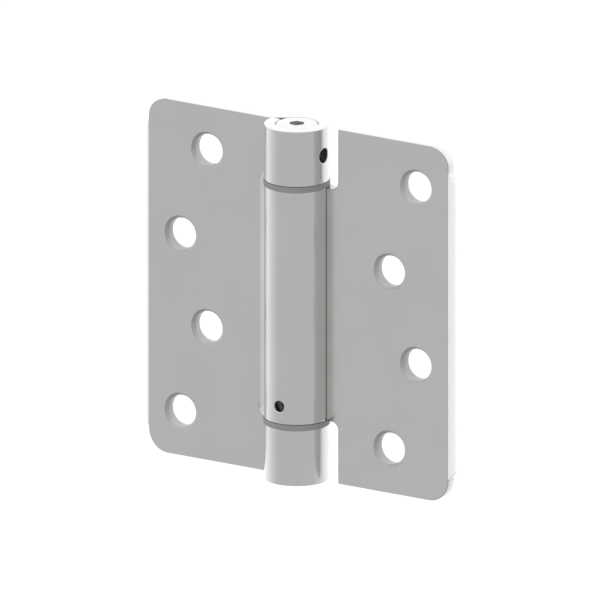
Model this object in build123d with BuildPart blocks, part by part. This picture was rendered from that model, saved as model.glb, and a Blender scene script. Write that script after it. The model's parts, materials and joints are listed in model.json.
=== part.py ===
from build123d import *
from math import acos, asin, atan2, cos, degrees, hypot, radians, sin, tan
import os

os.makedirs("parts", exist_ok=True)

# Full-mortise spring hinge with its two leaves flat open.
# The origin is on the pin axis at mid-height. +X runs out along the barrel leaf, +Y points
# away from the countersunk faces and +Z points up the pin axis.

# Leaves, cut from strip with a half-round mill edge, which stands out between the corners
leaf_height = 101.6
open_width = 101.6
leaf_thickness = 3.0
leaf_corner = 6.35
mill_edge_stand = 1.55
mill_edge_start = 6.5
mill_edge_taper = 45
face_setback = 0.79

# Screw holes, staggered between two columns that are measured from the pin axis
screws_per_leaf = 4
screw_pitch = 25.4
inner_column = 30.0
outer_column = 38.75
screw_hole_radius = 4.4
countersink_radius = 5.25
countersink_angle = 82

# Rolled knuckles. The root is where the leaf bends back to meet the roll, whose end closes on
# the outside of that bend.
knuckle_radius = 9.06
end_knuckle = 15.875
root_start = 9.4
root_bend = 2.0
seam_gap = 0.1
notch_edge = 13.0
notch_fillet = 2.2

# Flanged bearings
flange_overhang = 0.19
flange_gap = 1.5875
sleeve_length = 8.0
journal_radius = 4.0

# Torsion spring, wound from square wire with a straight leg across each end
wire = 2.1
coil_spacing = 3.2
spring_bore_gap = 0.25
leg_slot_depth = 3.4

# Tension cap
socket_across_flats = 3.97
socket_depth = 4.6
tension_hole_radius = 2.12
tension_hole_depth = 3.2
tension_holes = 4
cap_shank_length = 11.0
edge_chamfer = 0.5

# Anchor plug, its cross pin and the plug that closes the bottom knuckle
anchor_plug_height = 11.3
anchor_pin_height = 5.0
anchor_pin_radius = 1.6
anchor_pin_wall = 0.55
anchor_pin_slot = 0.6
anchor_pin_inset = 0.5
bottom_plug_height = 5.0

# Fits
running_clearance = 0.05
press_clearance = 0.01
loose_clearance = 0.3
end_play = 0.05

# Sizes that follow
bore_radius = knuckle_radius - leaf_thickness
leaf_end = leaf_height / 2
corner_end = open_width / 2 - mill_edge_stand
mill_edge_length = leaf_height - 2 * mill_edge_start
knuckle_inner_end = leaf_end - end_knuckle
barrel_end = knuckle_inner_end - flange_gap
flange_radius = knuckle_radius + flange_overhang
journal_bore = journal_radius + running_clearance
plug_radius = bore_radius - press_clearance
cap_radius = bore_radius - running_clearance
anchor_plug_top = anchor_plug_height - barrel_end
cap_shoulder = barrel_end + flange_gap - cap_shank_length
coil_radius = bore_radius - spring_bore_gap - wire / 2
nose_radius = coil_radius - wire / 2 - loose_clearance
leg_slot_width = wire + loose_clearance
spring_rise = cap_shoulder - anchor_plug_top - wire - 2 * end_play
spring_turns = int(spring_rise / coil_spacing)
turn_rise = spring_rise / spring_turns
first_turn = anchor_plug_top + end_play + wire / 2
leg_length = 2 * coil_radius - wire / 2 - loose_clearance
tension_hole_z = leaf_end - end_knuckle / 2
anchor_pin_z = anchor_pin_height - barrel_end
past_all = 3 * knuckle_radius


def rolled_section(side):
    """Seen from above: the leaf runs in, bends back at its root and rolls round the bore.

    The roll ends a seam's width from the outside of the bend, or where it is nearest to it.
    """
    slope = degrees(asin(bore_radius / hypot(root_start, face_setback)) - atan2(face_setback, root_start))
    sheet_middle = face_setback + leaf_thickness / 2
    roll_middle = knuckle_radius - leaf_thickness / 2
    edge_centre = side * (open_width - leaf_thickness) / 2
    bend_x = root_start + leaf_thickness / 2 * tan(radians(slope / 2))
    roll_start = (side * roll_middle * sin(radians(slope)), roll_middle * cos(radians(slope)))
    bend_centre_x = bend_x + root_bend * tan(radians(slope / 2))
    bend_centre_y = sheet_middle + root_bend
    bend_away = hypot(bend_centre_x, bend_centre_y)
    seam_away = root_bend + leaf_thickness / 2 + seam_gap
    closing = (knuckle_radius**2 + bend_away**2 - seam_away**2) / (2 * knuckle_radius * bend_away)
    roll_end_angle = degrees(atan2(bend_centre_y, bend_centre_x) - acos(min(1, closing)))
    with BuildSketch(Plane.XY.offset(-leaf_end)) as section:
        with BuildLine():
            run_in = FilletPolyline(
                (edge_centre, sheet_middle), (side * bend_x, sheet_middle), roll_start, radius=root_bend
            )
            JernArc(run_in @ 1, run_in % 1, roll_middle, side * (270 + slope + roll_end_angle))
        trace(line_width=leaf_thickness)
        with Locations((edge_centre, sheet_middle)):
            Circle(leaf_thickness / 2)
    return section.sketch


def leaf_outline(side):
    """Seen from the front: one leaf with two round corners and the mill edge between them."""
    with BuildSketch(Plane.XZ) as outline:
        with Locations((side * (corner_end - past_all) / 2, 0)):
            Rectangle(corner_end + past_all, leaf_height)
        fillet(outline.vertices().sort_by(Axis.X, reverse=side > 0)[:2], leaf_corner)
        with Locations((side * corner_end, 0)):
            widest = mill_edge_length + 2 * mill_edge_stand / tan(radians(mill_edge_taper))
            Trapezoid(widest, 2 * mill_edge_stand, mill_edge_taper, rotation=-90 * side)
    return outline.sketch


def screw_holes(side, first_column, second_column):
    """Countersunk holes down one leaf, alternating from the top between two columns."""
    columns = (first_column, second_column)
    top_row = screw_pitch * (screws_per_leaf - 1) / 2
    with Locations(Plane.XZ.offset(-face_setback)):
        for row in range(screws_per_leaf):
            with Locations((side * columns[row % 2], top_row - row * screw_pitch)):
                CounterSinkHole(
                    radius=screw_hole_radius,
                    counter_sink_radius=countersink_radius,
                    counter_sink_angle=countersink_angle,
                    depth=2 * leaf_thickness,
                )


def bearing_section(seat):
    """Half section of a bearing: a flange that stands on seat, and a sleeve down into the bore."""
    flange_face = seat + flange_gap - end_play
    sleeve_end = seat - sleeve_length
    with BuildSketch(Plane.XZ) as half_section:
        with BuildLine():
            Polyline(
                (journal_bore, flange_face),
                (flange_radius, flange_face),
                (flange_radius, seat),
                (plug_radius, seat),
                (plug_radius, sleeve_end),
                (journal_bore, sleeve_end),
                close=True,
            )
        make_face()
    return half_section.sketch


# Leaf with the top and bottom knuckles
with BuildPart() as knuckle_leaf:
    extrude(rolled_section(side=-1), amount=leaf_height)
    extrude(leaf_outline(side=-1), amount=past_all, both=True, mode=Mode.INTERSECT)
    with BuildSketch(Plane.XZ) as barrel_notch:
        with Locations(((past_all - notch_edge) / 2, 0)):
            Rectangle(past_all + notch_edge, 2 * knuckle_inner_end)
        fillet(barrel_notch.vertices().sort_by(Axis.X)[:2], notch_fillet)
    extrude(amount=past_all, both=True, mode=Mode.SUBTRACT)
    screw_holes(-1, inner_column, outer_column)
    with Locations(Plane.YZ.offset(knuckle_radius)):
        with Locations((0, tension_hole_z)):
            Hole(tension_hole_radius, depth=knuckle_radius)
knuckle_leaf.part.label = "knuckle_leaf"
export_step(knuckle_leaf.part, "parts/knuckle_leaf.step")

# Leaf with the long middle barrel that houses the spring
with BuildPart() as barrel_leaf:
    extrude(rolled_section(side=1), amount=leaf_height)
    extrude(leaf_outline(side=1), amount=past_all, both=True, mode=Mode.INTERSECT)
    for end in (1, -1):
        with BuildSketch(Plane.XZ) as knuckle_notch:
            with Locations(((notch_edge - past_all) / 2, end * (barrel_end + past_all / 2))):
                Rectangle(notch_edge + past_all, past_all)
            fillet(knuckle_notch.vertices().sort_by(Axis.X)[-2:], notch_fillet)
        extrude(amount=past_all, both=True, mode=Mode.SUBTRACT)
    screw_holes(1, outer_column, inner_column)
    with Locations(Plane.XZ.offset(knuckle_radius)):
        with Locations((0, anchor_pin_z)):
            Hole(anchor_pin_radius, depth=2 * knuckle_radius)
barrel_leaf.part.label = "barrel_leaf"
export_step(barrel_leaf.part, "parts/barrel_leaf.step")

# Bearings between the barrel and the two end knuckles
with BuildPart() as upper_bearing:
    revolve(bearing_section(seat=barrel_end), axis=Axis.Z)
upper_bearing.part.label = "upper_bearing"
export_step(upper_bearing.part, "parts/upper_bearing.step")

with BuildPart() as lower_bearing:
    revolve(bearing_section(seat=-knuckle_inner_end), axis=Axis.Z)
lower_bearing.part.label = "lower_bearing"
export_step(lower_bearing.part, "parts/lower_bearing.step")

# Tension cap: a head with a hex socket and a ring of pin holes, a shank that turns in the
# upper bearing, and a slotted nose that takes the upper leg of the spring
with BuildPart() as tension_cap:
    with BuildSketch(Plane.XZ):
        with BuildLine():
            Polyline(
                (0, leaf_end),
                (cap_radius - edge_chamfer, leaf_end),
                (cap_radius, leaf_end - edge_chamfer),
                (cap_radius, knuckle_inner_end),
                (journal_radius, knuckle_inner_end),
                (journal_radius, cap_shoulder),
                (nose_radius, cap_shoulder),
                (nose_radius, cap_shoulder - leg_slot_depth),
                (0, cap_shoulder - leg_slot_depth),
                close=True,
            )
        make_face()
    revolve(axis=Axis.Z)
    with BuildSketch(Plane.XY.offset(leaf_end)):
        RegularPolygon(socket_across_flats / 2, 6, major_radius=False)
    extrude(amount=-socket_depth, mode=Mode.SUBTRACT)
    for turn in range(tension_holes):
        around = Plane.YZ.rotated((0, 0, turn * 360 / tension_holes))
        with Locations(around.offset(cap_radius)):
            with Locations((0, tension_hole_z)):
                Hole(tension_hole_radius, depth=tension_hole_depth)
    with BuildSketch(Plane.XY.offset(cap_shoulder - leg_slot_depth)):
        Rectangle(2 * knuckle_radius, leg_slot_width)
    extrude(amount=leg_slot_depth, mode=Mode.SUBTRACT)
tension_cap.part.label = "tension_cap"
export_step(tension_cap.part, "parts/tension_cap.step")

# Anchor plug: pinned in the lower end of the barrel, with a journal that turns in the lower
# bearing and a slotted nose that holds the lower leg of the spring
with BuildPart() as anchor_plug:
    with BuildSketch(Plane.XZ):
        with BuildLine():
            journal_end = bottom_plug_height + loose_clearance - leaf_end
            Polyline(
                (0, anchor_plug_top + leg_slot_depth),
                (nose_radius, anchor_plug_top + leg_slot_depth),
                (nose_radius, anchor_plug_top),
                (plug_radius, anchor_plug_top),
                (plug_radius, -barrel_end),
                (journal_radius, -barrel_end),
                (journal_radius, journal_end + edge_chamfer),
                (journal_radius - edge_chamfer, journal_end),
                (0, journal_end),
                close=True,
            )
        make_face()
    revolve(axis=Axis.Z)
    with Locations(Plane.XZ.offset(knuckle_radius)):
        with Locations((0, anchor_pin_z)):
            Hole(anchor_pin_radius, depth=2 * knuckle_radius)
    with BuildSketch(Plane.XY.offset(anchor_plug_top + leg_slot_depth)):
        Rectangle(2 * knuckle_radius, leg_slot_width)
    extrude(amount=-leg_slot_depth, mode=Mode.SUBTRACT)
anchor_plug.part.label = "anchor_plug"
export_step(anchor_plug.part, "parts/anchor_plug.step")

# Slotted spring pin through the plug and the back wall of the barrel, sunk at the front
with BuildPart() as anchor_pin:
    with BuildSketch(Plane.XZ.offset(bore_radius)) as pin_section:
        with Locations((0, anchor_pin_z)):
            Circle(anchor_pin_radius - press_clearance)
            Circle(anchor_pin_radius - anchor_pin_wall, mode=Mode.SUBTRACT)
        with Locations((0, anchor_pin_z + anchor_pin_radius)):
            Rectangle(anchor_pin_slot, anchor_pin_radius, mode=Mode.SUBTRACT)
    extrude(amount=anchor_pin_inset - bore_radius - knuckle_radius)
anchor_pin.part.label = "anchor_pin"
export_step(anchor_pin.part, "parts/anchor_pin.step")

# Torsion spring: the coil, left-hand so that it tightens as the leaves open, and at each end
# a leg that lies in a nose's slot
with BuildPart() as torsion_spring:
    with BuildLine() as coil:
        for turn in range(spring_turns):
            turn_start = (0, 0, first_turn + turn * turn_rise)
            Helix(turn_rise, turn_rise, coil_radius, center=turn_start, lefthand=True)
    with BuildSketch(Plane(coil.line @ 0, x_dir=(1, 0, 0), z_dir=coil.line % 0)):
        Rectangle(wire, wire)
    sweep(path=coil.line, is_frenet=True)
    for level in (first_turn, first_turn + spring_rise):
        with BuildSketch(Plane.XY.offset(level - wire / 2)):
            with Locations((coil_radius - leg_length / 2, 0)):
                Rectangle(leg_length, wire)
        extrude(amount=wire)
torsion_spring.part.label = "torsion_spring"
export_step(torsion_spring.part, "parts/torsion_spring.step")

# Plug that closes the lower end of the bottom knuckle
with BuildPart() as bottom_plug:
    with BuildSketch(Plane.XY.offset(-leaf_end)):
        Circle(plug_radius)
    extrude(amount=bottom_plug_height)
    chamfer(bottom_plug.faces().sort_by(Axis.Z)[0].edges(), edge_chamfer)
bottom_plug.part.label = "bottom_plug"
export_step(bottom_plug.part, "parts/bottom_plug.step")
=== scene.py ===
"""Dresses a spring hinge: two rolled leaves, flanged bearings, a socket cap and a light tent.

Each leaf is made as the real one is: a flat blank is cut and pierced, and its straps are rolled.
Every size is in metres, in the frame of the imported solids: +X runs out along the barrel leaf, +Y
away from the countersunk faces and +Z up the pin axis.
"""

import json
import logging
import math
from collections.abc import Sequence
from dataclasses import dataclass
from enum import Enum
from functools import cached_property

import bmesh
import bpy
from bmesh.types import BMEdge, BMesh, BMFace, BMVert
from mathutils import Matrix, Vector


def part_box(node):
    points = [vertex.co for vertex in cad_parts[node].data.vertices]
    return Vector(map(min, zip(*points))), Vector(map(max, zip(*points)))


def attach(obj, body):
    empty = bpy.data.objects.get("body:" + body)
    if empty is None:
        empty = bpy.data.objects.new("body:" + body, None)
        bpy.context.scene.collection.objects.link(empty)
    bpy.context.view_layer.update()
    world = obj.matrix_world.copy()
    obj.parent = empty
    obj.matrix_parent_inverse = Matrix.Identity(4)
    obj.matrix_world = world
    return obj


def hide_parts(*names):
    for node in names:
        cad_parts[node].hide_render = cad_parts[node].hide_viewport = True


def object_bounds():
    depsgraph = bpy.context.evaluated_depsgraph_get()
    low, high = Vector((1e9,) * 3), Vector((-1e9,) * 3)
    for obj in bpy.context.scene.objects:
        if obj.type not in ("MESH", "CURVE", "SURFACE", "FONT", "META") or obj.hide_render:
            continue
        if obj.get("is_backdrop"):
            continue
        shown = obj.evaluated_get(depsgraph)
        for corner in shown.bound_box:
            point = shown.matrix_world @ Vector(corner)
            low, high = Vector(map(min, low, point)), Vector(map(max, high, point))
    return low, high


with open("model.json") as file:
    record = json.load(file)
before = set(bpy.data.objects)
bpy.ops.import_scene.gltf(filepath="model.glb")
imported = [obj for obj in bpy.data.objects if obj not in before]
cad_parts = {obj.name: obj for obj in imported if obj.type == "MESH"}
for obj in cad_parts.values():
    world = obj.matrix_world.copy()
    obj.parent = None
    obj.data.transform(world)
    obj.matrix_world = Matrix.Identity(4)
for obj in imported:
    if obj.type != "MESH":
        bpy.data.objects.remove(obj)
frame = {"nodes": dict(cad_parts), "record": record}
log = logging.getLogger("spring_hinge")

MM = 0.001
MERGE = 0.001 * MM
ON_MARK = MERGE / 10
SHARP = math.radians(60)
CREASE = math.radians(36)
EDGE_ROUND_STEPS = 3
END_KNUCKLE = 15.875 * MM
BEARING_GAP = 1.5875 * MM
TENSION_HOLE = 2.12 * MM
ANCHOR_HOLE = 1.6 * MM
ANCHOR_PIN_HEIGHT = 5.0 * MM
Colour = tuple[float, float, float]


class Side(Enum):
    """Which way a leaf runs out from the pin axis."""

    BARREL = 1
    KNUCKLE = -1


class LeafSurface(Enum):
    """The kinds of surface on a leaf, in the order of its finishes."""

    SHEET = 0
    # Walls and eased edges, in a darker colour that is painted shade.
    RIM = 1
    # The half-round mill edge, in a near-white colour that is a painted highlight.
    MILL_EDGE = 2
    BORE = 3
    CONE = 4


class Grain(Enum):
    """The way a tool has left its marks, as the stretch of a noise along X, Y and Z."""

    UP_THE_LEAF = (1.0, 1.0, 0.05)
    ROUND_THE_PIN = (1.0, 1.0, 0.12)
    NONE = (1.0, 1.0, 1.0)


# Shader maths


@dataclass(frozen=True)
class Signal:
    """A number that varies over a surface, as a socket with arithmetic.

    Args:
        nodes: The tree that holds the socket.
        socket: The output socket that carries the number.
    """

    nodes: "NodeTree"
    socket: bpy.types.NodeSocket

    def __add__(self, other: "Signal | float") -> "Signal":
        """Returns the sum."""
        return self.nodes.maths("ADD", self, other)

    def __sub__(self, other: "Signal | float") -> "Signal":
        """Returns the difference."""
        return self.nodes.maths("SUBTRACT", self, other)

    def __rsub__(self, other: float) -> "Signal":
        """Returns a plain number less this signal."""
        return self.nodes.maths("SUBTRACT", other, self)

    def __mul__(self, other: "Signal | float") -> "Signal":
        """Returns the product."""
        return self.nodes.maths("MULTIPLY", self, other)

    __radd__ = __add__
    __rmul__ = __mul__

    def ramp(self, low: float, high: float, start: float, end: float) -> "Signal":
        """Returns the signal eased from one span of values to another.

        Args:
            low: The value where the ramp starts.
            high: The value where it ends.
            start: What the ramp gives at and below low.
            end: What it gives at and above high.
        """
        node = self.nodes.add(
            "ShaderNodeMapRange",
            {"interpolation_type": "SMOOTHSTEP"},
            {"Value": self, "From Min": low, "From Max": high, "To Min": start, "To Max": end},
        )
        return Signal(self.nodes, node.outputs["Result"])


@dataclass(frozen=True)
class NodeTree:
    """A node tree of a material or a world, filled through one method.

    Args:
        tree: The tree that gets the nodes.
    """

    tree: bpy.types.NodeTree

    def add(self, kind: str, settings: dict | None = None, inputs: dict | None = None) -> bpy.types.Node:
        """Adds a node.

        Args:
            kind: The node's type.
            settings: Its own properties, which are set first.
            inputs: A value, a Signal or an output socket for each named or numbered input.

        Returns:
            The node.
        """
        node = self.tree.nodes.new(kind)
        for name, value in (settings or {}).items():
            setattr(node, name, value)
        for name, value in (inputs or {}).items():
            source = value.socket if isinstance(value, Signal) else value
            if isinstance(source, bpy.types.NodeSocket):
                self.tree.links.new(source, node.inputs[name])
            else:
                node.inputs[name].default_value = source
        return node

    def maths(self, operation: str, first: Signal | float, second: Signal | float) -> Signal:
        """Adds a Math node and returns its result."""
        node = self.add("ShaderNodeMath", {"operation": operation}, {0: first, 1: second})
        return Signal(self, node.outputs[0])

    def noise(self, stretch: Sequence[float], size: float, detail: float) -> Signal:
        """Returns a noise in the object's own coordinates.

        Args:
            stretch: How much faster the noise changes along X, Y and Z.
            size: The width of one grain.
            detail: How many finer layers it has.
        """
        place = self.add("ShaderNodeTexCoord").outputs["Object"]
        scaled = self.add("ShaderNodeMapping", inputs={"Vector": place, "Scale": tuple(stretch)})
        grain = self.add(
            "ShaderNodeTexNoise",
            inputs={"Vector": scaled.outputs["Vector"], "Scale": 1 / size, "Detail": detail},
        )
        return Signal(self, grain.outputs["Fac"])

    def mix(self, share: Signal, first: Colour, second: Colour) -> bpy.types.NodeSocket:
        """Returns a colour between two colours, by a share from 0 to 1."""
        node = self.add(
            "ShaderNodeMix",
            {"data_type": "RGBA"},
            {"Factor": share, "A": (*first, 1), "B": (*second, 1)},
        )
        return node.outputs["Result"]


# Finishes


@dataclass(frozen=True)
class Finish:
    """A surface finish, dressed with a fine grain and a slow cloudiness.

    Args:
        name: The material's name.
        slot: The record's slot that the finish stands for. It is not used.
        light: The colour where the surface is cleanest.
        dark: The colour where it is duller.
        metallic: 1 for bare or plated metal, 0 for a moulding.
        roughness: The roughness half-way between the grain's crests and hollows.
        roughness_spread: How much the grain changes it.
        grain: The way the tool marks run.
        grain_size: The width of one mark.
        relief: The height of the marks.
        cloud_size: The width of a slow change of tone.
        cloud_low: The noise at and below which a cloud adds nothing to the tone.
        cloud_high: The noise at and above which it adds all of its share.
        cloud_share: The clouds' share of the tone, which the marks make up to the whole.
        grain_detail: How many finer layers the marks have.
        cloud_detail: How many the clouds have.
    """

    name: str
    slot: str
    light: Colour
    dark: Colour
    metallic: float
    roughness: float
    roughness_spread: float
    grain: Grain
    grain_size: float = 0.12 * MM
    relief: float = 0.0004 * MM
    cloud_size: float = 18 * MM
    cloud_low: float = 0.3
    cloud_high: float = 0.7
    cloud_share: float = 0.7
    grain_detail: float = 3.0
    cloud_detail: float = 2.0

    def material(self) -> bpy.types.Material:
        """Returns the finish as a new material."""
        material = bpy.data.materials.new(self.name)
        material.use_nodes = True
        material.node_tree.nodes.clear()
        nodes = NodeTree(material.node_tree)
        marks = nodes.noise(self.grain.value, self.grain_size, self.grain_detail)
        cloud = nodes.noise(Grain.NONE.value, self.cloud_size, self.cloud_detail)
        relief = nodes.add(
            "ShaderNodeBump", inputs={"Height": marks, "Distance": self.relief, "Strength": 1.0}
        )
        clouded = cloud.ramp(self.cloud_low, self.cloud_high, 0.0, 1.0)
        tone = self.cloud_share * clouded + (1 - self.cloud_share) * marks
        surface = nodes.add(
            "ShaderNodeBsdfPrincipled",
            inputs={
                "Base Color": nodes.mix(tone, self.light, self.dark),
                "Metallic": self.metallic,
                "Roughness": (marks - 0.5) * (2 * self.roughness_spread) + self.roughness,
                "Normal": relief.outputs["Normal"],
            },
        )
        nodes.add("ShaderNodeOutputMaterial", inputs={"Surface": surface.outputs["BSDF"]})
        return material


SATIN_CHROME = Finish(
    name="satin_chrome_plate",
    slot="satin_steel",
    light=(0.715, 0.708, 0.698),
    dark=(0.69, 0.684, 0.675),
    metallic=1.0,
    roughness=0.2,
    roughness_spread=0.03,
    grain=Grain.UP_THE_LEAF,
)
# Painted shade: a darker colour for the leaf's walls and the eased edges of its flat part, standing in
# for the shade they fall in.
RIM_PAINTED_SHADE = Finish(
    name="rubbed_rim",
    slot="satin_steel",
    light=(0.53, 0.525, 0.52),
    dark=(0.48, 0.475, 0.47),
    metallic=1.0,
    roughness=0.3,
    roughness_spread=0.03,
    grain=Grain.NONE,
)
# Painted highlight: a near-white, half-matt colour that makes the mill edge read as a bright band of
# light.
MILL_EDGE_PAINTED_HIGHLIGHT = Finish(
    name="rolled_mill_edge",
    slot="satin_steel",
    light=(0.97, 0.965, 0.96),
    dark=(0.93, 0.925, 0.92),
    metallic=0.3,
    roughness=0.6,
    roughness_spread=0.03,
    grain=Grain.UP_THE_LEAF,
)
PIERCED_BORE = Finish(
    name="pierced_bore",
    slot="satin_steel",
    light=(0.37, 0.365, 0.36),
    dark=(0.32, 0.315, 0.31),
    metallic=1.0,
    roughness=0.3,
    roughness_spread=0.03,
    grain=Grain.NONE,
)
COUNTERSUNK_CONE = Finish(
    name="countersunk_cone",
    slot="satin_steel",
    light=(0.62, 0.615, 0.61),
    dark=(0.56, 0.555, 0.55),
    metallic=1.0,
    roughness=0.55,
    roughness_spread=0.03,
    grain=Grain.NONE,
)
LEAF_FINISHES = (SATIN_CHROME, RIM_PAINTED_SHADE, MILL_EDGE_PAINTED_HIGHLIGHT, PIERCED_BORE, COUNTERSUNK_CONE)
TURNED_CHROME = Finish(
    name="turned_chrome_plate",
    slot="cap_steel",
    light=(0.75, 0.75, 0.74),
    dark=(0.7, 0.7, 0.69),
    metallic=1.0,
    roughness=0.4,
    roughness_spread=0.04,
    grain=Grain.ROUND_THE_PIN,
)
MATT_MOULDING = Finish(
    name="dark_matt_moulding",
    slot="bearing",
    light=(0.25, 0.255, 0.25),
    dark=(0.22, 0.225, 0.22),
    metallic=0.0,
    roughness=0.55,
    roughness_spread=0.06,
    grain=Grain.NONE,
    relief=0.002 * MM,
)
OILED_STEEL = Finish(
    name="oiled_spring_steel",
    slot="spring_steel",
    light=(0.3, 0.3, 0.31),
    dark=(0.22, 0.22, 0.23),
    metallic=1.0,
    roughness=0.32,
    roughness_spread=0.05,
    grain=Grain.ROUND_THE_PIN,
)
PLAIN_STEEL = Finish(
    name="plain_turned_steel",
    slot="plug_steel",
    light=(0.5, 0.5, 0.5),
    dark=(0.42, 0.42, 0.42),
    metallic=1.0,
    roughness=0.35,
    roughness_spread=0.05,
    grain=Grain.ROUND_THE_PIN,
)


# Mesh helpers


def finish_mesh(piece: str, mesh: BMesh, crease: float) -> bpy.types.Object:
    """Turns a bmesh into a linked object with smooth faces and sharp creases.

    Args:
        piece: The object's name.
        mesh: The closed mesh, in the frame's coordinates. It is freed.
        crease: The least angle between two faces that stays a sharp edge.

    Returns:
        The object, at the origin.
    """
    bmesh.ops.recalc_face_normals(mesh, faces=mesh.faces)
    for face in mesh.faces:
        face.smooth = True
    for edge in mesh.edges:
        edge.smooth = edge.calc_face_angle(math.pi) < crease
    data = bpy.data.meshes.new(piece)
    mesh.to_mesh(data)
    mesh.free()
    made = bpy.data.objects.new(piece, data)
    bpy.context.scene.collection.objects.link(made)
    return made


def dress(piece: bpy.types.Object, finishes: Sequence[Finish], node: str) -> None:
    """Gives a new piece its finishes and its body, and lets it stand for a solid.

    Args:
        piece: The new object.
        finishes: What its surfaces are, with the main one first.
        node: The solid that it replaces, whose body it rides on.
    """
    bodies = frame["record"]["behaviour"]["bodies"]
    body = next(body for body, members in bodies.items() if node in members)
    for finish in finishes:
        piece.data.materials.append(finish.material())
    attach(piece, body)
    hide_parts(node)
    log.info("%s rides on %s with %d faces", piece.name, body, len(piece.data.polygons))


# Leaves


@dataclass(frozen=True)
class SheetLine:
    """The middle line of a rolled sheet seen from above, as runs and bends.

    Args:
        start: Where the line starts, as x and y.
        heading: Which way it sets off, as an angle from +X.
        parts: The length of each run or bend and the angle that it turns through.
    """

    start: tuple[float, float]
    heading: float
    parts: tuple[tuple[float, float], ...]

    @cached_property
    def length(self) -> float:
        """The developed length of the sheet."""
        return sum(length for length, _ in self.parts)

    def place(self, along: float, offset: float) -> tuple[float, float]:
        """Finds a point of the rolled sheet.

        Args:
            along: The distance from the start, which may be a little less than nothing.
            offset: The distance from the middle of the sheet, to the left of the line.

        Returns:
            The point's x and y.
        """
        x, y = self.start
        heading = self.heading
        for length, turn in self.parts:
            step = min(along, length)
            bend = turn * step / length
            if turn:
                radius = length / turn
                x += radius * (math.sin(heading + bend) - math.sin(heading))
                y -= radius * (math.cos(heading + bend) - math.cos(heading))
            else:
                x += step * math.cos(heading)
                y += step * math.sin(heading)
            heading += bend
            along -= step
            if along <= 0:
                break
        return x - offset * math.sin(heading), y + offset * math.cos(heading)

    def bend_marks(self, step: float) -> list[float]:
        """Finds where the sheet is scored for its bends.

        Args:
            step: The greatest angle between two marks.

        Returns:
            The distances of the marks from the start of the line.
        """
        marks = []
        reached = 0.0
        for length, turn in self.parts:
            if turn:
                count = math.ceil(abs(turn) / step)
                marks += [reached + length * mark / count for mark in range(count + 1)]
            reached += length
        return marks


@dataclass(frozen=True)
class PinHole:
    """A round hole through the rolled part of a leaf.

    Args:
        bearing: Where it goes through the roll, as an angle from the leaf's own direction.
        height: Its centre along the pin axis.
        radius: Its radius.
    """

    bearing: float
    height: float
    radius: float


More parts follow.
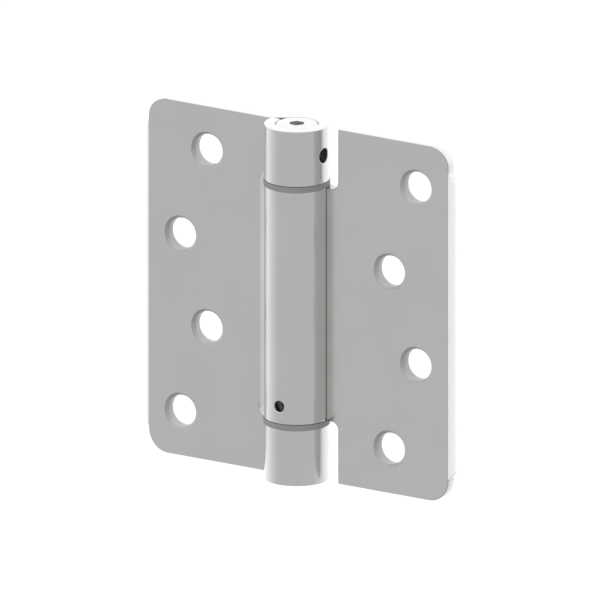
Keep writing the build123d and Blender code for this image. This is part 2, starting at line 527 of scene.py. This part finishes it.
@dataclass(frozen=True)
class Leaf:
    """One leaf with its knuckles: a blank that is cut, pierced, eased at its edges and rolled.

    The blank is worked flat, with X the distance in from the middle of the mill edge, Y the
    distance in front of the middle of the sheet and Z the height.

    Args:
        node: The solid that the leaf stands for.
        side: Which way it runs out from the pin axis.
        strap_end: The height at which its straps meet the bearings.
        pin_holes: The holes through its roll.
        thickness: The thickness of the sheet.
        setback: How far the flat leaf's front face lies behind the pin axis.
        corner: The radius of the two outer corners.
        corner_steps: How many faces go round each of them.
        mill_edge_stand: How far the mill edge stands out past the corners' cut.
        mill_edge_start: How far from each end it starts to rise.
        mill_edge_run: How far it runs until it has risen in full.
        mill_edge_ease: How far back along the edge the start and the end of that rise are rounded.
        notch_edge: The distance of the notches' walls from the pin axis.
        notch_fillet: The radius in their corners.
        fillet_steps: How many faces go round a fillet or a rounding.
        root_start: How far from the pin axis the front face would turn back if its bend were sharp.
        root_bend: The radius of that bend at the middle of the sheet.
        seam_gap: The gap where the roll closes on the root.
        screw_hole: The radius of a screw hole's bore.
        countersink: The radius of its cone's mouth.
        countersink_slope: The angle between the cone's wall and its axis.
        hole_steps: How many faces go round a hole.
        edge_break: The radius of an eased edge.
        edge_steps: How many faces go across it.
        support: The width of the ring of faces that holds it.
        bend_step: The greatest angle between two faces of a bend.
        mill_edge_steps: How many faces go round half of the mill edge.
        flat_facing: The least share of a face's direction that is square to the sheet, for the
            face to count as its front or back and not as a wall.
        crease: The least angle between two faces that stays a sharp edge.
    """

    node: str
    side: Side
    strap_end: float
    pin_holes: tuple[PinHole, ...]
    thickness: float = 3.0 * MM
    setback: float = 0.79 * MM
    corner: float = 6.35 * MM
    corner_steps: int = 20
    mill_edge_stand: float = 1.55 * MM
    mill_edge_start: float = 7.1 * MM
    mill_edge_run: float = 1.8 * MM
    mill_edge_ease: float = 1.8 * MM
    notch_edge: float = 13.0 * MM
    notch_fillet: float = 2.2 * MM
    fillet_steps: int = 10
    root_start: float = 9.4 * MM
    root_bend: float = 2.0 * MM
    seam_gap: float = 0.02 * MM
    screw_hole: float = 4.4 * MM
    countersink: float = 5.25 * MM
    countersink_slope: float = math.radians(41)
    hole_steps: int = 72
    edge_break: float = 0.2 * MM
    edge_steps: int = 3
    support: float = 0.2 * MM
    bend_step: float = math.radians(3.6)
    mill_edge_steps: int = 9
    flat_facing: float = 0.7
    crease: float = CREASE

    @cached_property
    def top(self) -> float:
        """The height of the leaf's upper end."""
        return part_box(self.node)[1].z

    @cached_property
    def reach(self) -> float:
        """The distance from the pin axis to the middle of the half-round mill edge."""
        low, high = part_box(self.node)
        return max(-low.x, high.x) - self.thickness / 2

    @cached_property
    def roll(self) -> float:
        """The radius of the roll at the middle of the sheet."""
        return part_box(self.node)[1].y - self.thickness / 2

    @cached_property
    def bore(self) -> float:
        """The radius inside the roll."""
        return self.roll - self.thickness / 2

    @cached_property
    def slope(self) -> float:
        """The angle at which the root leans back to meet the roll."""
        run = math.hypot(self.root_start, self.setback)
        return math.asin(self.bore / run) - math.atan2(self.setback, self.root_start)

    @cached_property
    def bend_x(self) -> float:
        """How far from the pin axis the sheet's middle line would turn if its bend were sharp."""
        return self.root_start + self.thickness / 2 * math.tan(self.slope / 2)

    @cached_property
    def roll_end(self) -> float:
        """How far past the leaf's own direction the roll runs until it closes on the root's bend."""
        centre_x = self.bend_x + self.root_bend * math.tan(self.slope / 2)
        centre_y = self.setback + self.thickness / 2 + self.root_bend
        away = math.hypot(centre_x, centre_y)
        eased = self.roll + self.thickness / 2 - self.edge_break
        clear = self.root_bend + self.thickness / 2 + self.seam_gap + self.edge_break
        closing = (eased**2 + away**2 - clear**2) / (2 * eased * away)
        return math.atan2(centre_y, centre_x) - math.acos(closing) + self.edge_break / eased

    @cached_property
    def screws(self) -> list[tuple[float, float]]:
        """The middles of the screw holes on the blank."""
        places = []
        for mount in frame["record"]["mounts"]:
            if mount["kind"] == "bolt_pattern" and mount["name"].startswith(self.node):
                x, _, z = mount["pos_m"]
                half_pitch = mount["dims"]["spacing_y_mm"] * MM / 2
                places += [(self.reach - abs(x), z + half_pitch), (self.reach - abs(x), z - half_pitch)]
        return places

    @cached_property
    def line(self) -> SheetLine:
        """The middle line of the sheet, from the mill edge to the end of the roll."""
        middle = self.setback + self.thickness / 2
        roll_x = self.roll * math.sin(self.slope)
        roll_y = self.roll * math.cos(self.slope)
        tangent = self.root_bend * math.tan(self.slope / 2)
        wrap = 1.5 * math.pi + self.slope + self.roll_end
        return SheetLine(
            start=(self.reach, middle),
            heading=math.pi,
            parts=(
                (self.reach - self.bend_x - tangent, 0.0),
                (self.root_bend * self.slope, -self.slope),
                (math.hypot(self.bend_x - roll_x, roll_y - middle) - tangent, 0.0),
                (self.roll * wrap, wrap),
            ),
        )

    @cached_property
    def wall_top(self) -> float:
        """How far in front of the sheet's middle a wall meets the eased edge."""
        return self.thickness / 2 - self.edge_break

    @cached_property
    def rim(self) -> float:
        """The width of the eased edge and of the ring of faces that holds it."""
        return self.edge_break + self.support

    def build(self) -> bpy.types.Object:
        """Makes the leaf from its flat blank.

        Returns:
            The finished leaf.
        """
        mesh = bmesh.new()
        self.cut(mesh)
        self.pierce(mesh)
        self.thicken(mesh)
        self.countersink_screw_holes(mesh)
        self.mark_screw_holes(mesh)
        self.true_pin_holes(mesh)
        self.score(mesh)
        self.mark_mill_edge(mesh)
        self.bend(mesh)
        return finish_mesh(f"{self.node}_sheet", mesh, self.crease)

    def half_outline(self) -> list[tuple[float, float, float]]:
        """Lays out the upper half of the blank.

        Returns:
            Its corners as x, z and rounding, round from the mill edge.
        """
        notch = self.reach - self.notch_edge
        outside = -self.thickness / 2
        cut = outside + self.mill_edge_stand
        shoulder = self.top - self.mill_edge_start
        mill_edge = [
            (outside, shoulder - self.mill_edge_run, self.mill_edge_ease),
            (cut, shoulder, self.mill_edge_ease),
            (cut, self.top, self.corner),
        ]
        notch_corner = (notch, self.strap_end, self.notch_fillet)
        strap_corner = (self.line.length, self.strap_end, 0.0)
        if self.side is Side.BARREL:
            return [*mill_edge, (notch, self.top, 0.0), notch_corner, strap_corner]
        return [*mill_edge, (self.line.length, self.top, 0.0), strap_corner, notch_corner]

    def cut(self, mesh: BMesh) -> None:
        """Draws the outline of the blank as a ring of edges, with its round corners.

        Args:
            mesh: The empty mesh.
        """
        upper = self.half_outline()
        lower = [(x, -z, rounding) for x, z, rounding in reversed(upper)]
        corners = upper + lower
        ring = [mesh.verts.new((x, 0, z)) for x, z, _ in corners]
        mesh.faces.new(ring)
        for vert, (_, _, rounding) in zip(ring, corners):
            if rounding:
                bmesh.ops.bevel(
                    mesh,
                    geom=[vert],
                    offset=rounding,
                    offset_type="OFFSET",
                    segments=self.corner_steps if rounding == self.corner else self.fillet_steps,
                    profile=0.5,
                    affect="VERTICES",
                    material=-1,
                )
        bmesh.ops.delete(mesh, geom=mesh.faces[:], context="FACES_ONLY")

    def pierce(self, mesh: BMesh) -> None:
        """Adds the rings of the holes and fills the sheet between all the rings.

        Args:
            mesh: The outline.
        """
        upright = Matrix.Rotation(math.pi / 2, 4, "X")
        holes = [(x, z, self.screw_hole) for x, z in self.screws]
        holes += [(self.along_roll(hole), hole.height, hole.radius) for hole in self.pin_holes]
        for x, z, radius in holes:
            place = Matrix.Translation((x, 0, z)) @ upright
            bmesh.ops.create_circle(mesh, segments=self.hole_steps, radius=radius, matrix=place)
        bmesh.ops.triangle_fill(mesh, edges=mesh.edges, use_beauty=True, normal=(0, 1, 0))
        if next(iter(mesh.faces)).normal.y < 0:
            bmesh.ops.reverse_faces(mesh, faces=mesh.faces)

    def thicken(self, mesh: BMesh) -> None:
        """Eases every edge of the front face, mirrors it to the back and joins them with walls.

        Args:
            mesh: The flat sheet, with no thickness yet.
        """
        front = mesh.faces[:]
        shaded_rim_end = self.reach - self.notch_edge - self.edge_break
        bmesh.ops.translate(mesh, verts=mesh.verts, vec=(0, self.wall_top, 0))
        turns = [math.pi / 2 * step / self.edge_steps for step in range(self.edge_steps + 1)]
        for before, after in zip(turns, turns[1:]):
            eased = bmesh.ops.inset_region(
                mesh,
                faces=front,
                thickness=self.edge_break * (math.cos(before) - math.cos(after)),
                depth=self.edge_break * (math.sin(after) - math.sin(before)),
                use_boundary=True,
                use_even_offset=True,
            )
            # Eased faces on the flat part take the rim's darker colour, which is painted shade.
            for face in eased["faces"]:
                if face.calc_center_median().x < shaded_rim_end:
                    face.material_index = LeafSurface.RIM.value
        bmesh.ops.inset_region(
            mesh, faces=front, thickness=self.support, use_boundary=True, use_even_offset=True
        )
        ring = [edge for edge in mesh.edges if edge.is_boundary]
        everything = mesh.verts[:] + mesh.edges[:] + mesh.faces[:]
        bmesh.ops.mirror(mesh, geom=everything, matrix=Matrix(), merge_dist=0, axis="Y")
        for level in (self.cone_floor, -self.wall_top):
            grown = bmesh.ops.extrude_edge_only(mesh, edges=ring)["geom"]
            lower = {item for item in grown if isinstance(item, BMVert)}
            for vert in lower:
                vert.co.y = level
            ring = [item for item in grown if isinstance(item, BMEdge) and lower.issuperset(item.verts)]
            for wall in grown:
                if isinstance(wall, BMFace):
                    # Walls near the leaf's ends keep the sheet's lighter colour; the others take the
                    # rim's darker colour, which is painted shade.
                    at_end = abs(wall.verts[0].co.z) > self.top - self.corner
                    wall.material_index = (LeafSurface.SHEET if at_end else LeafSurface.RIM).value
        bmesh.ops.remove_doubles(mesh, verts=mesh.verts, dist=MERGE)

    @cached_property
    def cone_floor(self) -> float:
        """How far in front of the sheet's middle a countersink's cone meets its bore."""
        depth = (self.countersink - self.screw_hole) / math.tan(self.countersink_slope)
        return self.thickness / 2 - depth

    def countersink_screw_holes(self, mesh: BMesh) -> None:
        """Opens the front rim of each screw hole to the mouth of its cone.

        Args:
            mesh: The thick blank.
        """
        spread = (self.wall_top - self.cone_floor) * math.tan(self.countersink_slope)
        for x, z in self.screws:
            middle = Vector((x, 0, z))
            for vert in self.rim_of(mesh, x, z, self.screw_hole):
                if vert.co.y > self.cone_floor + MERGE:
                    outwards = (vert.co - middle) * Vector((1, 0, 1))
                    vert.co += outwards.normalized() * spread

    def mark_screw_holes(self, mesh: BMesh) -> None:
        """Gives the bore and the cone of each screw hole their finishes.

        Args:
            mesh: The thick blank, with its cones.
        """
        for face in mesh.faces:
            middle = face.calc_center_median()
            away = min(math.hypot(middle.x - x, middle.z - z) for x, z in self.screws)
            if away < self.screw_hole:
                face.material_index = LeafSurface.BORE.value
            elif away < self.countersink and self.cone_floor < middle.y < self.wall_top:
                face.material_index = LeafSurface.CONE.value

    def true_pin_holes(self, mesh: BMesh) -> None:
        """Widens each pin hole inside the roll and narrows it outside, so that it comes out round.

        Args:
            mesh: The thick blank.
        """
        for hole in self.pin_holes:
            middle = self.along_roll(hole)
            for vert in self.rim_of(mesh, middle, hole.height, hole.radius):
                here = self.roll - vert.co.y
                drilled = self.roll * math.asin(hole.radius / here)
                vert.co.x = middle + (vert.co.x - middle) * drilled / hole.radius

    def rim_of(self, mesh: BMesh, x: float, z: float, radius: float) -> list[BMVert]:
        """Finds the points on the wall and the eased edges of one hole.

        Args:
            mesh: The thick blank.
            x: The hole's middle, in from the middle of the mill edge.
            z: Its height.
            radius: Its radius.

        Returns:
            The points.
        """
        limit = radius + self.rim + MERGE
        return [vert for vert in mesh.verts if math.hypot(vert.co.x - x, vert.co.z - z) < limit]

    def along_roll(self, hole: PinHole) -> float:
        """Finds where on the sheet a hole through the roll is pierced.

        Args:
            hole: The hole.

        Returns:
            Its distance along the sheet.
        """
        before_roll = self.line.length - self.line.parts[-1][0]
        return before_roll + self.roll * (hole.bearing - (math.pi / 2 - self.slope))

    def score(self, mesh: BMesh) -> None:
        """Cuts lines across the blank where it bends and along its half-round mill edge.

        Args:
            mesh: The thick blank.
        """
        turns = [math.pi / 2 * step / self.mill_edge_steps for step in range(1, self.mill_edge_steps + 1)]
        mill_edge = [-self.thickness / 2 * math.cos(turn) for turn in turns]
        for mark in mill_edge + self.line.bend_marks(self.bend_step):
            bmesh.ops.bisect_plane(
                mesh,
                geom=mesh.verts[:] + mesh.edges[:] + mesh.faces[:],
                dist=ON_MARK,
                plane_co=(mark, 0, 0),
                plane_no=(1, 0, 0),
            )

    def mark_mill_edge(self, mesh: BMesh) -> None:
        """Gives the mill edge its near-white finish, a painted highlight, but for the walls where it runs
        out towards the corners.

        Args:
            mesh: The scored blank.
        """
        straight = self.top - self.mill_edge_start - self.mill_edge_run
        mesh.normal_update()
        for face in mesh.faces:
            middle = face.calc_center_median()
            if middle.x < 0:
                # The mill edge's rounded faces take its painted highlight; the run-out walls towards the
                # corners keep the sheet's colour.
                rolled = abs(middle.z) < straight or abs(face.normal.y) > self.flat_facing
                face.material_index = (LeafSurface.MILL_EDGE if rolled else LeafSurface.SHEET).value

    def bend(self, mesh: BMesh) -> None:
        """Rounds the mill edge and lays the blank along its middle line.

        Args:
            mesh: The scored blank, which is left as the rolled leaf.
        """
        half = self.thickness / 2
        for vert in mesh.verts:
            along, offset, height = vert.co
            if along < 0:
                offset *= math.sqrt(max(0.0, 1 - (along / half) ** 2))
            x, y = self.line.place(along, offset)
            vert.co = (self.side.value * x, y, height)
        bmesh.ops.remove_doubles(mesh, verts=mesh.verts, dist=MERGE)


# Turned and moulded pieces


@dataclass(frozen=True)
class Bearing:
    """A flanged bearing between two knuckles.

    Args:
        node: The solid that it stands for.
        flange: The thickness of its flange, which shows as a dark ring.
        sleeve_radius: The radius outside the sleeve below the flange.
        bore_radius: The radius inside the sleeve.
        edge_round: How far back each edge is rounded.
        steps: How many faces go round.
    """

    node: str
    flange: float = 1.5375 * MM
    sleeve_radius: float = 6.05 * MM
    bore_radius: float = 4.05 * MM
    edge_round: float = 0.08 * MM
    steps: int = 120

    def build(self) -> bpy.types.Object:
        """Turns the bearing about the pin axis and rounds its edges.

        Returns:
            The bearing.
        """
        low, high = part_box(self.node)
        seat = high.z - self.flange
        section = (
            (self.bore_radius, high.z),
            (high.x, high.z),
            (high.x, seat),
            (self.sleeve_radius, seat),
            (self.sleeve_radius, low.z),
            (self.bore_radius, low.z),
        )
        return turn(f"{self.node}_ring", section, self.edge_round, self.steps)


@dataclass(frozen=True)
class BottomPlug:
    """The plug in the lower end of the bottom knuckle, with a broken edge below.

    Args:
        node: The solid that it stands for.
        chamfer: The width of the broken edge.
        edge_round: How far back each edge is rounded.
        steps: How many faces go round.
    """

    node: str = "bottom_plug"
    chamfer: float = 0.5 * MM
    edge_round: float = 0.1 * MM
    steps: int = 120

    def build(self) -> bpy.types.Object:
        """Turns the plug about the pin axis.

        Returns:
            The plug.
        """
        low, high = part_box(self.node)
        section = (
            (0.0, low.z),
            (high.x - self.chamfer, low.z),
            (high.x, low.z + self.chamfer),
            (high.x, high.z),
            (0.0, high.z),
        )
        return turn(f"{self.node}_turned", section, self.edge_round, self.steps)


def turn(
    piece: str, section: Sequence[tuple[float, float]], edge_round: float, steps: int
) -> bpy.types.Object:
    """Spins a half section about the pin axis and rounds its edges.

    Args:
        piece: The object's name.
        section: Its corners, as radius and height, in order round the section.
        edge_round: How far back each sharp edge is rounded.
        steps: How many faces go round.

    Returns:
        The turned piece.
    """
    mesh = bmesh.new()
    corners = [mesh.verts.new((radius, 0, height)) for radius, height in section]
    closed = section[0][0] > 0
    ends = corners[1:] + corners[:1] if closed else corners[1:]
    edges = [mesh.edges.new(pair) for pair in zip(corners, ends)]
    bmesh.ops.spin(
        mesh,
        geom=corners + edges,
        axis=(0, 0, 1),
        cent=(0, 0, 0),
        angle=2 * math.pi,
        steps=steps,
        use_merge=True,
    )
    bmesh.ops.remove_doubles(mesh, verts=mesh.verts, dist=MERGE)
    bmesh.ops.recalc_face_normals(mesh, faces=mesh.faces)
    sharp = [edge for edge in mesh.edges if edge.calc_face_angle(0) > SHARP]
    bmesh.ops.bevel(
        mesh,
        geom=sharp,
        offset=edge_round,
        offset_type="OFFSET",
        segments=EDGE_ROUND_STEPS,
        profile=0.5,
        affect="EDGES",
        material=-1,
    )
    return finish_mesh(piece, mesh, CREASE)


@dataclass(frozen=True)
class TensionCap:
    """The cap in the top knuckle, with its socket and its ring of pin holes.

    Args:
        node: The solid that it stands for.
        crease: The least angle between two faces that stays a sharp edge.
    """

    node: str = "tension_cap"
    crease: float = math.radians(20)

    def build(self) -> bpy.types.Object:
        """Smooths a merged copy of the cap's solid.

        Returns:
            The cap.
        """
        mesh = bmesh.new()
        mesh.from_mesh(frame["nodes"][self.node].data)
        bmesh.ops.remove_doubles(mesh, verts=mesh.verts, dist=MERGE)
        return finish_mesh(f"{self.node}_turned", mesh, self.crease)


# Studio


@dataclass(frozen=True)
class Studio:
    """A white light tent with a darker opening in front, a pale floor and the camera.

    Args:
        azimuth: The camera's place round the hinge, from straight in front towards +X.
        elevation: Its height above the horizon, as an angle.
        view_width: The width of the view at the hinge.
        aim_right: How far right of the pin axis the view is centred.
        aim_up: How far above the middle of the hinge it is centred.
        distance: How far the camera is from the hinge.
        tent: The light from the tent's walls.
        opening: The light from its opening.
        opening_azimuth: The opening's place round the hinge, from straight in front towards +X.
        opening_elevation: The height of its middle above the horizon, as an angle.
        opening_inner: The angle from its middle at which the opening starts to brighten.
        opening_outer: The angle at which it has the light of the walls.
        floor_drop: How far below the hinge the floor lies.
        floor_half: Half the width of the floor.
        floor_colour: The floor's colour.
        floor_roughness: The floor's roughness.
    """

    azimuth: float = math.radians(33.15)
    elevation: float = math.radians(16.13)
    view_width: float = 165.3 * MM
    aim_right: float = 0.87 * MM
    aim_up: float = 0.05 * MM
    distance: float = 1.5
    tent: float = 1.34
    opening: float = 0.634
    opening_azimuth: float = math.radians(28)
    opening_elevation: float = math.radians(-45)
    opening_inner: float = math.radians(56)
    opening_outer: float = math.radians(125)
    floor_drop: float = 0.9
    floor_half: float = 9.0
    floor_colour: Colour = (0.9, 0.9, 0.9)
    floor_roughness: float = 0.9

    def build(self) -> None:
        """Adds the camera, the light and the floor."""
        bpy.context.scene.view_settings.view_transform = "Standard"
        self.place_camera()
        self.light_tent()
        self.lay_floor()

    def place_camera(self) -> None:
        """Sets the camera at the photograph's angle, with no perspective."""
        turned = Matrix.Rotation(self.azimuth, 3, "Z")
        tilted = turned @ Matrix.Rotation(math.pi / 2 - self.elevation, 3, "X")
        data = bpy.data.cameras.new("camera")
        data.type = "ORTHO"
        data.ortho_scale = self.view_width
        data.clip_end = 4 * self.floor_half
        camera = bpy.data.objects.new("camera", data)
        camera.matrix_world = tilted.to_4x4()
        camera.location = tilted @ Vector((self.aim_right, self.aim_up, self.distance))
        bpy.context.scene.collection.objects.link(camera)
        bpy.context.scene.camera = camera

    def light_tent(self) -> None:
        """Lights the hinge from all round, with less light from the opening in front."""
        world = bpy.data.worlds.new("light_tent")
        world.use_nodes = True
        world.node_tree.nodes.clear()
        nodes = NodeTree(world.node_tree)
        direction = nodes.add("ShaderNodeTexCoord").outputs["Generated"]
        level = math.cos(self.opening_elevation)
        middle = (
            level * math.sin(self.opening_azimuth),
            -level * math.cos(self.opening_azimuth),
            math.sin(self.opening_elevation),
        )
        facing = nodes.add(
            "ShaderNodeVectorMath", {"operation": "DOT_PRODUCT"}, {0: direction, 1: middle}
        )
        radiance = Signal(nodes, facing.outputs["Value"]).ramp(
            math.cos(self.opening_outer), math.cos(self.opening_inner), self.tent, self.opening
        )
        background = nodes.add("ShaderNodeBackground", inputs={"Strength": radiance})
        nodes.add("ShaderNodeOutputWorld", inputs={"Surface": background.outputs["Background"]})
        background.inputs["Color"].default_value = (1, 1, 1, 1)
        bpy.context.scene.world = world

    def lay_floor(self) -> None:
        """Lays a wide pale floor well below the hinge, which its polished faces don't mirror."""
        mesh = bmesh.new()
        bmesh.ops.create_grid(mesh, x_segments=1, y_segments=1, size=self.floor_half)
        bmesh.ops.translate(mesh, verts=mesh.verts, vec=(0, 0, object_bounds()[0].z - self.floor_drop))
        data = bpy.data.meshes.new("floor")
        mesh.to_mesh(data)
        mesh.free()
        floor = bpy.data.objects.new("floor", data)
        floor.visible_glossy = False
        bpy.context.scene.collection.objects.link(floor)
        material = bpy.data.materials.new("floor_paper")
        material.use_nodes = True
        shader = material.node_tree.nodes["Principled BSDF"]
        shader.inputs["Base Color"].default_value = (*self.floor_colour, 1)
        shader.inputs["Roughness"].default_value = self.floor_roughness
        data.materials.append(material)
        floor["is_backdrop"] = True


# The whole hinge


def leaves() -> list[Leaf]:
    """Sets out the two leaves, with the holes through their rolls.

    Returns:
        The knuckle leaf and the barrel leaf.
    """
    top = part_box("knuckle_leaf")[1].z
    knuckle_end = top - END_KNUCKLE
    barrel_end = knuckle_end - BEARING_GAP
    tension_hole = PinHole(math.pi, top - END_KNUCKLE / 2, TENSION_HOLE)
    anchor_height = ANCHOR_PIN_HEIGHT - barrel_end
    anchor_holes = tuple(
        PinHole(bearing, anchor_height, ANCHOR_HOLE) for bearing in (0.5 * math.pi, 1.5 * math.pi)
    )
    return [
        Leaf("knuckle_leaf", Side.KNUCKLE, knuckle_end, (tension_hole,)),
        Leaf("barrel_leaf", Side.BARREL, barrel_end, anchor_holes),
    ]


def keep_solid(node: str, finish: Finish) -> None:
    """Gives a solid that stays in the scene its finish.

    Args:
        node: The solid.
        finish: Its finish.
    """
    materials = frame["nodes"][node].data.materials
    materials.clear()
    materials.append(finish.material())
    log.info("%s keeps its solid, in %s", node, finish.name)


def main() -> None:
    """Builds the hinge and the studio."""
    logging.basicConfig(level=logging.INFO, format="%(message)s")
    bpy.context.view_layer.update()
    Studio().build()
    for leaf in leaves():
        dress(leaf.build(), LEAF_FINISHES, leaf.node)
    for bearing in (Bearing("upper_bearing"), Bearing("lower_bearing")):
        dress(bearing.build(), (MATT_MOULDING,), bearing.node)
    for turned in (TensionCap(), BottomPlug()):
        dress(turned.build(), (TURNED_CHROME,), turned.node)
    keep_solid("torsion_spring", OILED_STEEL)
    keep_solid("anchor_pin", OILED_STEEL)
    keep_solid("anchor_plug", PLAIN_STEEL)


if __name__ == "__main__":
    main()
